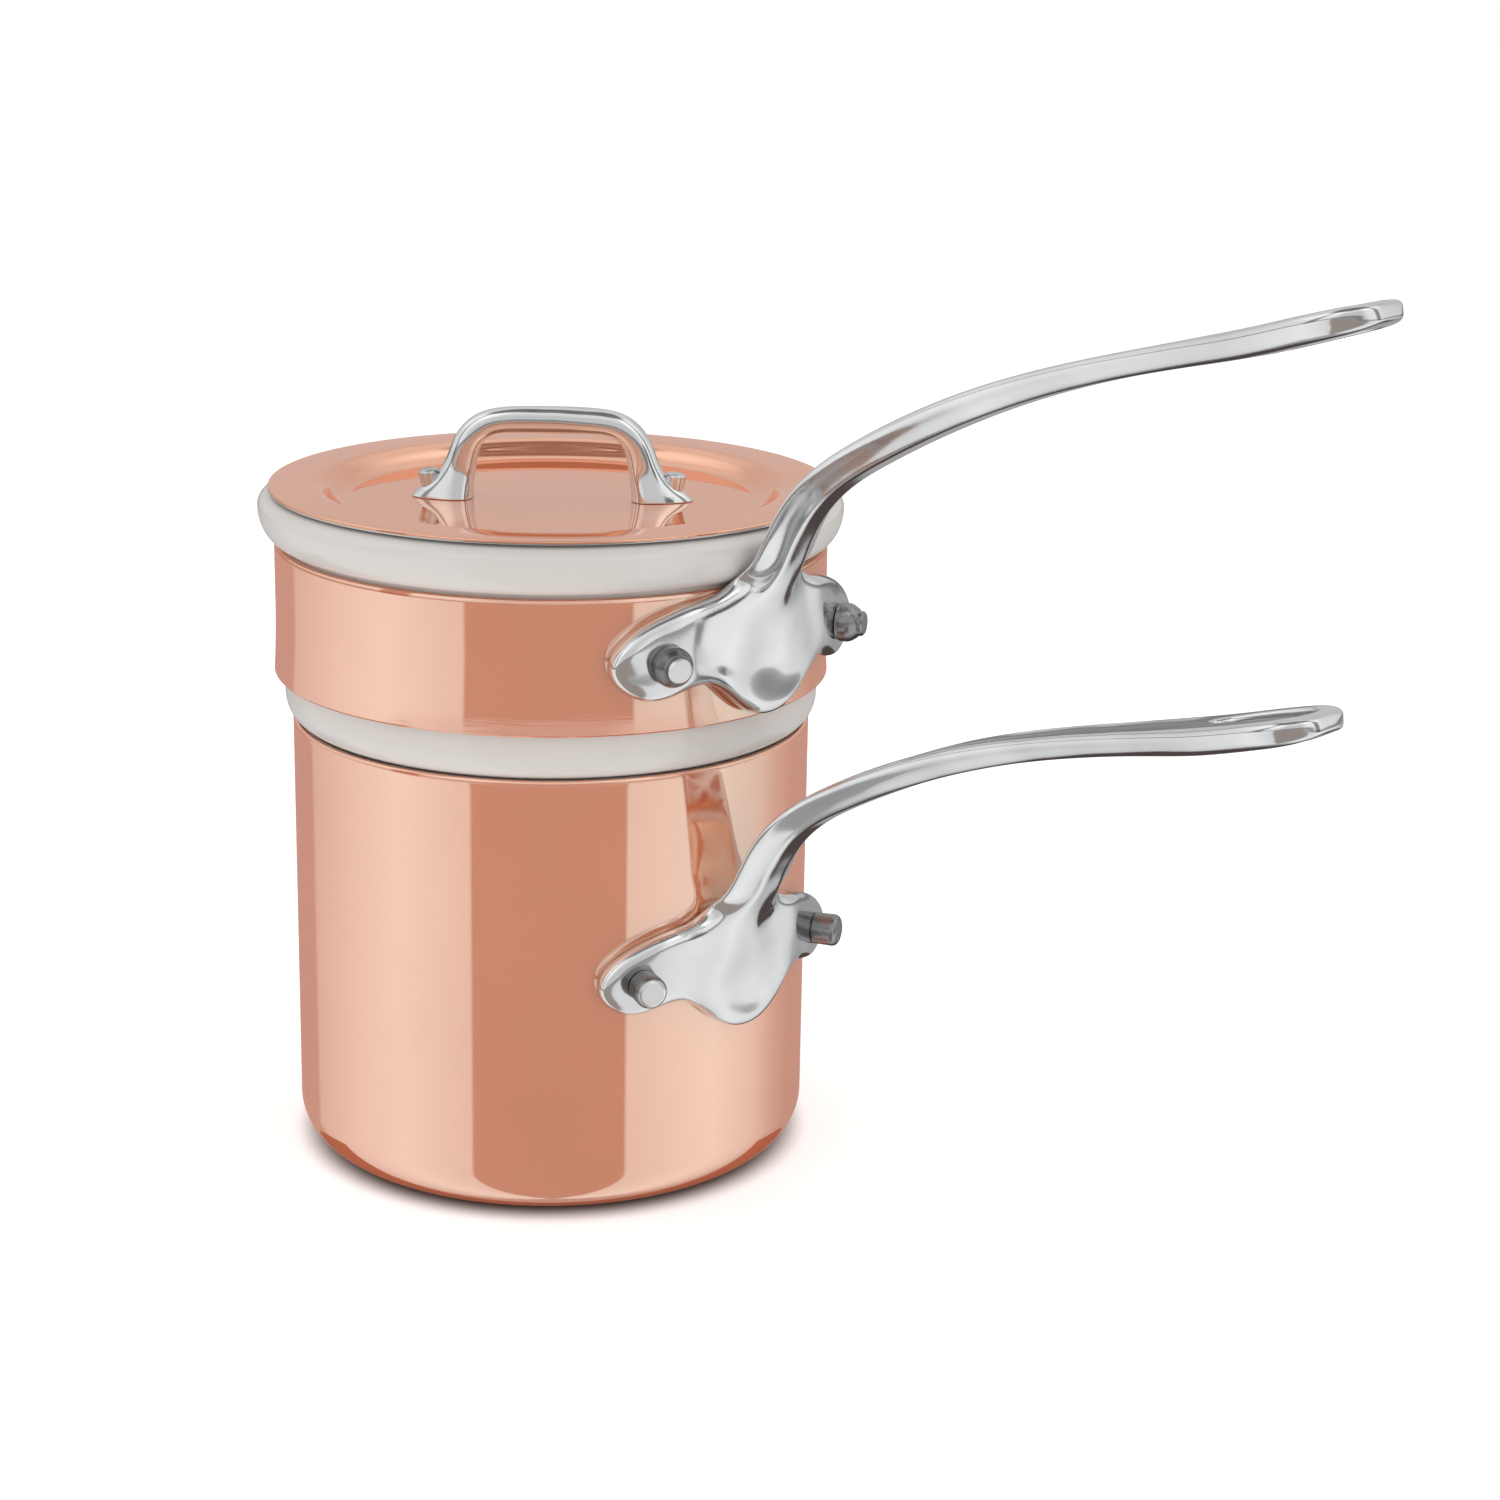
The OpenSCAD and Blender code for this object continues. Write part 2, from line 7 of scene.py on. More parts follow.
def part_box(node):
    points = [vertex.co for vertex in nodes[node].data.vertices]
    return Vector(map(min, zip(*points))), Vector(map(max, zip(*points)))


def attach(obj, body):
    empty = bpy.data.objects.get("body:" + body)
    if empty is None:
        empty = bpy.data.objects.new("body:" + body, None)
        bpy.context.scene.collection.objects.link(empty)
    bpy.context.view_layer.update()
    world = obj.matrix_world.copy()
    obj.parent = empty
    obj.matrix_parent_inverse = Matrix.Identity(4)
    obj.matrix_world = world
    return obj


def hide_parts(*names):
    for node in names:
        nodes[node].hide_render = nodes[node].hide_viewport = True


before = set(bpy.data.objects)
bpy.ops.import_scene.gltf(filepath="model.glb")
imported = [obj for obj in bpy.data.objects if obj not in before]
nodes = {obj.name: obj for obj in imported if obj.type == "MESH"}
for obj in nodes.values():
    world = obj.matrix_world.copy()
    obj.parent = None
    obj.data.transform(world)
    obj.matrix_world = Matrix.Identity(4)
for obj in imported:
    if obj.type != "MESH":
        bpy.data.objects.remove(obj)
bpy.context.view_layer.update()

# Sizes are in mm, and MM takes them to the frame's metres
MM = 0.001


def round_size(node):
    """Radius of a round CAD node, and its lowest and highest point.

    Rounded to 0.1 mm, because the flat facets of its mesh fall a little short of the true radius."""
    low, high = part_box(node)
    return round(high.x / MM, 1), round(low.z / MM, 1), round(high.z / MM, 1)


def middle_height(node):
    low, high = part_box(node)
    return round((low.z + high.z) / 2 / MM, 1)


# Copper sheets
POT_R, _, POT_H = round_size("lower_pot")
POT_SHEET = 1.2
POT_CORNER = 10.0
BASE_RINGS = (0.0, 30.0, 46.0)
BAND_FLARE = 0.5
BAND_FOOT_R, BAND_Z, BAND_TOP = round_size("handle_band")
BAND_R = BAND_FOOT_R - BAND_FLARE
BAND_SHEET = 1.5
BAND_FLARE_H = 16.0
BAND_INNER_FLARE_H = 6.0
# Bevel of the band's foot, how far in and how far up it goes, and the points of the rounded top edge,
# how far in and how far down each lies
BAND_FOOT_BEVEL = (0.25, 0.3)
BAND_LIP = [(0.0, 1.2), (0.0, 0.5), (0.15, 0.12), (0.5, 0.0)]
LID_R, _, LID_TOP = round_size("lid_shell")
LID_SHEET = 0.6
LID_EDGE_R = 0.3
DISC_RINGS = (0.0, 25.0, 40.0)
RIM_RING = 60.0
STEP_R = 55.2
STEP_RUN = 8.5
STEP_H = 4.1
DISC_Z = LID_TOP - STEP_H
TURN_STEPS = 192
FLARE_STEPS = 8
LIP_STEPS = 8
CORNER_STEPS = 24
STEP_STEPS = 16
LID_EDGE_STEPS = 6
SHARP_ANGLE = math.radians(35)
MERGE_GAP = 0.001

# Bracket of a cast handle. s runs round the wall from the bracket's middle, and heights count from the
# rivets. NECK sizes are for the neck's foot on the bracket, and the lobe hangs under the middle.
POT_RIVET_Z = middle_height("lower_rivet_left")
BAND_RIVET_Z = middle_height("upper_rivet_left")
RIVET_S = 27.6
BRACKET_T = 5.7
WALL_GAP = 0.15
EAR_MID = -0.8
EAR_CORNER = 0.93
EAR_THINNING = 0.12
LOBE_DROP = 15.7
LOBE_FULLNESS = 1.35
NOTCH_S = 18.0
NOTCH_RUN = 13.0
NOTCH_DROP = 5.8
NECK_S = 10.0
NECK_FRONT_TOPS = (8.0, 9.3, 11.4)
FILLET_S = 14.4
FILLET_END = FILLET_S + 0.5
FILLET_RUN = 5.0
FILLET_H = 2.2
EDGE_ROUND = 3.4
EDGE_ROUND_MOST = 0.4
EDGE_ROUND_LOSS = 0.5
# For each depth of the block, from the wall outwards: how far off the wall it lies, as a share of the
# bracket's thickness, how far its edge is drawn in, as a share of the edge's rounding, and how much the
# neck narrows there towards its top
DEPTH_SHARES = (0.03, 0.42, 0.74, 0.93, 1.0)
EDGE_INSETS = (0.25, 0.0, 0.13, 0.45, 1.0)
NECK_TAPER = (0.0, 0.0, 0.14, 0.34, 0.45)

# The handle's block, in cells: the neck's columns, one of fillet and the ear's to each side
NECK_COLUMNS = 2
EAR_COLUMNS = 6
HALF_COLUMNS = NECK_COLUMNS + 1 + EAR_COLUMNS
ROWS = 4
DEPTH = 4
ROUNDING_LEVELS = 3

# Strap from the neck to the far end: distance from the wall, height above the rivets,
# half width on top, half width below, thickness
STRAP = [
    (8.0, 17.8, 10.5, 3.9, 4.4),
    (9.9, 22.0, 9.9, 3.8, 4.2),
    (12.0, 26.0, 9.9, 3.7, 4.2),
    (14.9, 30.7, 10.0, 3.7, 4.5),
    (19.2, 35.8, 10.0, 3.8, 5.0),
    (25.8, 41.2, 9.9, 4.0, 5.6),
    (33.5, 45.8, 9.6, 4.2, 6.0),
    (45.0, 52.1, 8.8, 4.5, 6.2),
    (62.0, 59.9, 7.9, 4.8, 5.9),
    (82.0, 66.9, 7.5, 5.4, 5.2),
    (103.0, 72.5, 7.6, 6.2, 5.0),
    (117.0, 75.9, 8.9, 7.8, 5.4),
    (126.6, 78.3, 10.3, 9.4, 5.7),
    (134.5, 80.7, 11.3, 10.3, 5.6),
    (142.5, 83.1, 11.4, 10.4, 5.4),
    (148.4, 84.8, 9.8, 8.9, 5.0),
    (151.8, 85.8, 5.8, 5.2, 3.6)]
# Section of the strap, for each depth of the block: the shares of the half width on top and of the one
# below that make the half width here, and the level in half thicknesses
STRAP_SECTION = [
    (0.88, 0.0, 1.0), (1.0, 0.0, 0.56), (0.4, 0.6, -0.05), (0.06, 0.94, -0.62), (0.0, 0.84, -1.0)]
STRAP_TIP = 0.5
STRAP_CREASE = 0.25
STRAP_CREASE_FROM = 8
# Hanging eye: the rows of the strap that it takes up, and its half width and shift along the strap in each,
# then the shift of its two ends
EYE_FIRST = 13
EYE_LAST = 16
EYE_SIDES = {13: (2.9, 1.6), 14: (4.6, 0.3), 15: (6.3, 1.2), 16: (4.4, -0.4)}
EYE_ENDS = {13: -0.3, 16: 0.9}
EYE_CREASE = 0.6

# Loop of the lid, from its foot to its middle: outer and inner edge of the bar, each with its distance from
# the lid's middle and its height above the disc, then half width, and how leaf-shaped it is
LOOP = [
    (32.8, 0.0, 17.6, 0.0, 4.5, 0.5),
    (31.6, 1.6, 17.6, 1.6, 4.4, 0.45),
    (28.6, 3.5, 17.6, 3.4, 4.3, 0.3),
    (26.2, 6.0, 17.3, 5.8, 4.1, 0.12),
    (24.5, 8.9, 16.9, 8.6, 3.95, 0.0),
    (23.4, 12.3, 16.4, 11.4, 3.85, 0.0),
    (21.7, 15.9, 15.2, 13.3, 3.85, 0.0),
    (18.4, 19.2, 13.2, 14.5, 3.85, 0.0),
    (13.6, 21.1, 10.6, 14.9, 3.85, 0.0),
    (5.0, 21.5, 5.0, 14.9, 3.85, 0.0)]
LOOP_ROWS = 2 * len(LOOP) - 1
LOOP_TURN = math.radians(43)
LOOP_LIFT = 0.1
LOOP_CORNER = 0.8

# Copper: a haze of deep red and a bright polish, each with a tarnished or dim tone. Colours are linear.
COPPER = (1.0, 0.215, 0.065)
COPPER_TARNISH = (0.94, 0.19, 0.055)
HAZE_METALLIC = 0.5
POLISH = (0.91, 1.0, 0.86)
POLISH_DIM = (0.85, 0.93, 0.79)
POLISH_SHARE = 0.49
LID_POLISH = (0.94, 0.66, 0.49)
LID_POLISH_DIM = (0.86, 0.57, 0.41)
LID_POLISH_SHARE = 0.74

# Steel and porcelain
CAST_STEEL = (0.76, 0.765, 0.77)
CAST_STEEL_DARK = (0.55, 0.555, 0.56)
# Left rivets: a painted highlight on the end and painted shade on the flank
RIVET_END_PAINTED_HIGHLIGHT = (0.84, 0.845, 0.85)
RIVET_FLANK_PAINTED_SHADE = (0.22, 0.222, 0.225)
LID_RIVET_STEEL = (0.70, 0.705, 0.71)
LID_RIVET_STEEL_DARK = (0.34, 0.345, 0.35)
# The right rivets are the same steel as the left ones, made much darker with painted shade
RIGHT_RIVET_PAINTED_SHADE = (0.34, 0.345, 0.35)
RIGHT_RIVET_PAINTED_SHADE_DARK = (0.07, 0.072, 0.075)
LINING_STEEL = (0.66, 0.66, 0.67)
PORCELAIN = (0.68, 0.645, 0.615)
PORCELAIN_DEEP = (0.635, 0.60, 0.565)

# Scales of the fine lines along X, Y and Z. On the walls and the linings they run round the axis.
WALL_LINES = (40.0, 40.0, 2200.0)
LINING_LINES = (40.0, 40.0, 3000.0)
LID_LINES = (60.0, 60.0, 60.0)
# Relief of the finishes: depth of the finest grain, of the glaze's ripple and of the castings' waves
GRAIN_DEPTH = 0.2
RIPPLE_DEPTH = 0.5
WAVE_DEPTH = 4.0
# The strap is ground smoother than the bracket: between these two places along X the waves die down
# to this share
BRACKET_END_X = 65.0
GROUND_FROM_X = 85.0
GROUND_WAVES = 0.22
# Shallow hollow in the face of each bracket, a little below the rivets
HOLLOW_DROP = 3.5
HOLLOW_R = 10.5
HOLLOW_SHARE = 0.36
BETWEEN_BRACKETS_Z = 95.0
# Outer ends of the left rivets, from the axis
LOWER_RIVET_END_R = 71.4
UPPER_RIVET_END_R = 75.2
# Width of the blend from the flank's painted shade to the end's painted highlight
RIVET_HIGHLIGHT_BLEND = 0.5

# Floor, with a painted contact shadow under the pot's rounded edge, where its glow also fades out
FLOOR_SPAN = 8000.0
FLOOR_PALE = (0.93, 0.93, 0.93)
FLOOR_DIM = (0.9, 0.9, 0.9)
FLOOR_GLOW = (0.35, 0.35, 0.35)
SHADE_FROM_R = 52.0
SHADE_TO_R = 63.0
SHADE_TONE = (0.10, 0.09, 0.085)
BLACK = (0.0, 0.0, 0.0)

# Camera, as the photograph was taken
CAMERA_PLACE = Vector((521.74, -487.67, 299.52)) * MM
CAMERA_HEADING = math.radians(43.20)
CAMERA_DIP = math.radians(16.106)
CAMERA_ROLL = math.radians(1.066)
CAMERA_LENS = 75.756
SENSOR = 36.0
CLIP_END = 20

# Ceiling lamp
LAMP_HEIGHT = 1600.0
LAMP_SPAN = 1600.0
LAMP_POWER = 7


def grey(level):
    return (level, level, level)


# Room, which lights the object and is seen in its reflections, but not by the camera. The tones of its walls
# go by the angle round the object, in degrees from the camera, growing towards the camera's right.
# Low down the front is dark, between two tall soft boxes.
WHITE = grey(1.0)
FRONT = (0.38, 0.33, 0.30)
BACK = grey(0.40)
LOW_WALLS = [
    (-180, BACK), (-134, BACK), (-131, grey(0.66)), (-100, grey(0.88)), (-72, grey(1.06)),
    (-48, grey(0.92)), (-36.2, grey(0.84)), (-35.2, FRONT), (32.4, FRONT), (33.4, grey(0.86)),
    (77, grey(1.08)), (104, grey(0.84)), (119, grey(0.55)), (136, BACK), (180, BACK)]
# Above the dark front the walls are lighter, with a narrow dark flag on each side, for the steel to reflect
FRONT_TOP = -0.17
HIGH_WALLS = [
    (-180, grey(0.62)), (-137, grey(0.62)), (-135.5, grey(0.72)), (-100, grey(0.9)),
    (-74, grey(0.95)), (-72, grey(0.3)), (-60, grey(0.3)), (-58, grey(1.05)),
    (-36, grey(1.0)), (-20, grey(0.7)), (20, grey(0.7)), (36, grey(1.05)),
    (58, grey(1.05)), (60, grey(0.3)), (76, grey(0.3)), (78, grey(1.05)),
    (104, grey(0.85)), (136, grey(0.62)), (180, grey(0.62))]
# The walls' tones are multiplied by these, which go by height, from -1 straight down to 1 straight up:
# a dark strip lies just under the horizon, and the ceiling is bright round a dark middle
LEVELS = [
    (-1.0, WHITE), (-0.18, WHITE), (-0.15, grey(0.52)), (-0.09, grey(0.4)), (-0.02, grey(0.22)),
    (-0.005, WHITE), (0.45, WHITE), (0.66, grey(1.3)), (0.86, grey(1.3)), (0.93, grey(0.28)),
    (1.0, grey(0.28))]
# The shade under the object, away from the camera, which the rounded base reflects
UNDER_TOP = -0.50
UNDER_FAR = 0.36
UNDER_TONE = (0.09, 0.07, 0.065)


class Value:
    """What comes out of a node. Reckoning with it adds Math nodes to its graph."""

    def __init__(self, graph, socket):
        self.graph = graph
        self.socket = socket

    def __add__(self, other):
        return self.graph.maths("ADD", self, other)

    def __radd__(self, other):
        return self.graph.maths("ADD", other, self)

    def __sub__(self, other):
        return self.graph.maths("SUBTRACT", self, other)

    def __rsub__(self, other):
        return self.graph.maths("SUBTRACT", other, self)

    def __mul__(self, other):
        return self.graph.maths("MULTIPLY", self, other)

    def __rmul__(self, other):
        return self.graph.maths("MULTIPLY", other, self)

    def __truediv__(self, other):
        return self.graph.maths("DIVIDE", self, other)

    def __rtruediv__(self, other):
        return self.graph.maths("DIVIDE", other, self)

    def __gt__(self, other):
        return self.graph.maths("GREATER_THAN", self, other)

    def __lt__(self, other):
        return self.graph.maths("LESS_THAN", self, other)


class Graph:
    """The nodes of a finish or of the room."""

    def __init__(self, tree):
        self.tree = tree
        tree.nodes.clear()

    def add(self, kind, settings, sockets, output=0):
        """Adds a node with its settings and what goes into its sockets, and gives one of its outputs."""
        node = self.tree.nodes.new(kind)
        for name, setting in settings.items():
            if name == "stops":
                self.set_stops(node.color_ramp, setting)
            else:
                setattr(node, name, setting)
        for name, value in sockets.items():
            socket = node.inputs[name]
            if isinstance(value, Value):
                self.tree.links.new(value.socket, socket)
            elif socket.type == "RGBA":
                socket.default_value = (*value, 1.0)
            else:
                socket.default_value = value
        return Value(self, node.outputs[output]) if node.outputs else None

    def set_stops(self, ramp, stops):
        while len(ramp.elements) < len(stops):
            ramp.elements.new(1.0)
        for element, (place, colour) in zip(ramp.elements, stops):
            element.position = place
            element.color = (*colour, 1.0)

    def maths(self, operation, *terms):
        return self.add("ShaderNodeMath", {"operation": operation}, dict(enumerate(terms)))

    def place(self):
        """Where a point lies in the frame, in metres."""
        return self.add("ShaderNodeTexCoord", {}, {}, "Object")

    def axes(self, vector):
        """X, Y and Z of a vector."""
        first = self.add("ShaderNodeSeparateXYZ", {}, {"Vector": vector})
        return [Value(self, socket) for socket in first.socket.node.outputs]

    def from_axis(self, place):
        """Distance of a place from the Z axis."""
        x, y, _ = self.axes(place)
        return self.maths("SQRT", x * x + y * y)

    def eased(self, value, start, end):
        """0 at start, 1 at end, beyond them the same, and smooth between them."""
        return self.add("ShaderNodeMapRange", {"interpolation_type": "SMOOTHSTEP"},
                        {"Value": value, "From Min": start, "From Max": end})

    def noise(self, place, scale, detail):
        return self.add("ShaderNodeTexNoise", {}, {"Vector": place, "Scale": scale, "Detail": detail})

    def fine_lines(self, place, scales):
        """Noise that is stretched by a scale of its own along each axis."""
        stretched = self.add("ShaderNodeMapping", {}, {"Vector": place, "Scale": scales})
        return self.noise(stretched, scale=1.0, detail=2.0)

    def ramp(self, share, stops):
        return self.add("ShaderNodeValToRGB", {"stops": stops}, {"Fac": share})

    def mix(self, share, low, high, blend="MIX"):
        """Mixes two colours."""
        settings = {"data_type": "RGBA", "blend_type": blend}
        return self.add("ShaderNodeMix", settings, {0: share, 6: low, 7: high}, 2)

    def mix_shaders(self, share, low, high):
        return self.add("ShaderNodeMixShader", {}, {0: share, 1: low, 2: high})

    def bump(self, height, strength, depth, **under):
        """Relief of a depth in mm. A coarser relief that it lies on is given as Normal."""
        return self.add("ShaderNodeBump", {}, {
            "Height": height, "Strength": strength, "Distance": depth * MM, **under})

    def shiny(self, colour, bump, roughness, **more):
        return self.add("ShaderNodeBsdfPrincipled", {}, {
            "Base Color": colour, "Roughness": roughness, "Normal": bump, **more})

    def close(self, shader):
        self.add("ShaderNodeOutputMaterial", {}, {"Surface": shader})


def new_finish(name):
    finish = bpy.data.materials.new(name)
    finish.use_nodes = True
    return finish, Graph(finish.node_tree)


def polished_copper(name, line_scales, polish_share, polish_light, polish_dim):
    """Copper: a hazy, deep copper-red glow under a share of bright polish, with faint lines."""
    finish, graph = new_finish(name)
    place = graph.place()
    cloud = graph.noise(place, scale=22.0, detail=4.0)
    stains = (cloud - 0.4) * 1.4
    lines = graph.fine_lines(place, line_scales)
    bump = graph.bump(lines, strength=0.02, depth=GRAIN_DEPTH)
    haze_colour = graph.mix(stains, COPPER, COPPER_TARNISH)
    haze = graph.shiny(haze_colour, bump, roughness=0.60 + lines * 0.08, Metallic=HAZE_METALLIC)
    polish_colour = graph.mix(stains, polish_light, polish_dim)
    polish = graph.shiny(polish_colour, bump, roughness=0.02 + cloud * 0.04, Metallic=1.0)
    graph.close(graph.mix_shaders(polish_share, haze, polish))
    return finish


def bracket_hollow(graph, y, z):
    """How deep the hollow of a bracket's face is at a place: 1 in its middle, 0 well away from it."""
    to_upper = (BAND_RIVET_Z - POT_RIVET_Z) * MM
    lower_z = (POT_RIVET_Z - HOLLOW_DROP) * MM
    above = z - (z > BETWEEN_BRACKETS_Z * MM) * to_upper - lower_z
    spread = (y * y + above * above) / (HOLLOW_R * MM) ** 2
    return graph.maths("EXPONENT", -1 * spread)


def cast_metal(name, light, dark, gloss, pits):
    """A casting polished by hand: wavy round its bracket, with a finer grain in its shine."""
    finish, graph = new_finish(name)
    place = graph.place()
    x, y, z = graph.axes(place)
    cloud = graph.noise(place, scale=60.0, detail=3.0)
    grain = graph.noise(place, scale=1400.0, detail=2.0)
    on_bracket = graph.eased(x, GROUND_FROM_X * MM, BRACKET_END_X * MM)
    waves = graph.noise(place, scale=46.0, detail=1.0) * (GROUND_WAVES + (1 - GROUND_WAVES) * on_bracket)
    relief = waves - HOLLOW_SHARE * bracket_hollow(graph, y, z)
    wavy = graph.bump(relief, strength=1.0, depth=WAVE_DEPTH)
    bump = graph.bump(grain, strength=pits, depth=GRAIN_DEPTH, Normal=wavy)
    colour = graph.mix((cloud - 0.35) * 0.8, light, dark)
    graph.close(graph.shiny(colour, bump, roughness=gloss + (cloud - 0.5) * 0.12, Metallic=1.0))
    return finish


def rivet_metal(name, end_r):
    """A rivet with painted shade on its flank and a painted highlight on its end, which lies end_r from the
    axis.
    """
    finish, graph = new_finish(name)
    place = graph.place()
    cloud = graph.noise(place, scale=260.0, detail=3.0)
    at_end = graph.eased(graph.from_axis(place), (end_r - RIVET_HIGHLIGHT_BLEND) * MM, end_r * MM)
    bump = graph.bump(cloud, strength=0.25, depth=GRAIN_DEPTH)
    # Painted shade on the flank, painted highlight on the end
    colour = graph.mix(at_end, RIVET_FLANK_PAINTED_SHADE, RIVET_END_PAINTED_HIGHLIGHT)
    graph.close(graph.shiny(colour, bump, roughness=0.22 + cloud * 0.16, Metallic=1.0))
    return finish


def satin_lining(name):
    finish, graph = new_finish(name)
    lines = graph.fine_lines(graph.place(), LINING_LINES)
    bump = graph.bump(lines, strength=0.08, depth=GRAIN_DEPTH)
    colour = graph.mix(lines, LINING_STEEL, CAST_STEEL)
    graph.close(graph.shiny(colour, bump, roughness=0.22 + lines * 0.1, Metallic=1.0))
    return finish


def white_glaze(name):
    finish, graph = new_finish(name)
    place = graph.place()
    cloud = graph.noise(place, scale=35.0, detail=3.0)
    ripple = graph.noise(place, scale=120.0, detail=2.0)
    bump = graph.bump(ripple, strength=0.03, depth=RIPPLE_DEPTH)
    colour = graph.mix(cloud, PORCELAIN, PORCELAIN_DEEP)
    graph.close(graph.shiny(colour, bump, roughness=0.10 + cloud * 0.06, IOR=1.5))
    return finish


def dress(node, finish):
    piece = nodes[node]
    piece.data.materials.clear()
    piece.data.materials.append(finish)


def deselect_all():
    bpy.ops.object.select_all(action="DESELECT")


def near(a, b):
    return abs(a - b) < 0.01


# Castings. Each is a block of unit cells at first, columns along X, rows along Y and depth along Z.
# The block is grown cell by cell, and its points are then moved to their place in the casting.


def pull(steps, way):
    """Extrudes what is selected by so many steps."""
    for _ in range(steps):
        bpy.ops.mesh.extrude_region_move(TRANSFORM_OT_translate={"value": way})


def start_block(name, columns, rows, depth):
    deselect_all()
    bpy.ops.mesh.primitive_grid_add(x_subdivisions=columns, y_subdivisions=rows, size=1.0, location=(0, 0, 0))
    block = bpy.context.active_object
    block.name = name
    bpy.ops.object.mode_set(mode="EDIT")
    bpy.ops.mesh.select_all(action="SELECT")
    bpy.ops.transform.resize(value=(columns, rows, 1))
    bpy.ops.transform.translate(value=(0, rows / 2, 0))
    pull(depth, (0, 0, 1))
    return block


def select_parts(block, kind, wanted):
    """Selects the faces or edges whose middle is wanted, and nothing else."""
    bpy.ops.mesh.select_mode(type=kind)
    bpy.ops.mesh.select_all(action="DESELECT")
    bpy.ops.object.mode_set(mode="OBJECT")
    points = block.data.vertices
    parts = block.data.polygons if kind == "FACE" else block.data.edges
    for part in parts:
        middle = sum((points[i].co for i in part.vertices), Vector()) / len(part.vertices)
        part.select = wanted(*middle)
    bpy.ops.object.mode_set(mode="EDIT")


def crease(block, sharpness, wanted):
    select_parts(block, "EDGE", wanted)
    bpy.ops.transform.edge_crease(value=sharpness)


def cast(block, place):
    """Moves the block's points to their place, turns its faces outwards and rounds it."""
    bpy.ops.object.mode_set(mode="OBJECT")
    for point in block.data.vertices:
        point.co = place(*(round(v) for v in point.co)) * MM
    bpy.ops.object.mode_set(mode="EDIT")
    bpy.ops.mesh.select_all(action="SELECT")
    bpy.ops.mesh.normals_make_consistent(inside=False)
    bpy.ops.object.mode_set(mode="OBJECT")
    rounding = block.modifiers.new("rounding", "SUBSURF")
    rounding.levels = ROUNDING_LEVELS
    rounding.render_levels = ROUNDING_LEVELS
    bpy.ops.object.modifier_apply(modifier="rounding")
    bpy.ops.object.shade_smooth()


def ease(share):
    """Goes from 0 to 1 with share, slowly at both ends."""
    return (1 - math.cos(math.pi * max(0.0, min(1.0, share)))) / 2


def round_off(s, reach, start):
    """1 up to start, and from there a quarter of an ellipse down to 0 at reach."""
    return math.sqrt(max(0.0, 1 - (max(0.0, abs(s) - start) / (reach - start)) ** 2))


